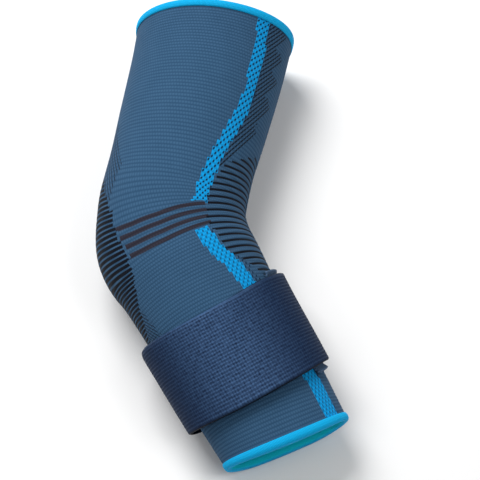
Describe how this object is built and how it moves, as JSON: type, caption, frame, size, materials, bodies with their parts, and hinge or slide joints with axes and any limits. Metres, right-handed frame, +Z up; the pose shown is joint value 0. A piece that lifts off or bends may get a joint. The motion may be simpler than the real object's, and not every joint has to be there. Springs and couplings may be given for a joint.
{
  "type": "elastic elbow support",
  "caption": "Knitted elastic elbow sleeve with a bent tube form, ribbed crook, bound ends and a wrapped elastic strap round the forearm.",
  "frame": {"origin": "on the resting plane under the middle of the elbow's bend", "axes": "+Z up from the resting plane, +Y towards the upper arm, +X from the point of the elbow to the crook"},
  "size_m": [0.1388, 0.2902, 0.0814],
  "materials": {
    "sleeve_knit": "flat-knitted elastic, grey-blue with bright blue, black and brown stripes",
    "edge_binding": "knitted bright blue edge binding",
    "strap_webbing": "navy woven elastic webbing with a waffle surface",
    "anchor_patch": "grey-blue sewn fabric patch"
  },
  "bodies": {
    "root": {"sleeve": "sleeve_knit", "rim_upper": "edge_binding", "rim_lower": "edge_binding", "strap": "strap_webbing", "strap_anchor": "anchor_patch"}
  },
  "joints": []
}
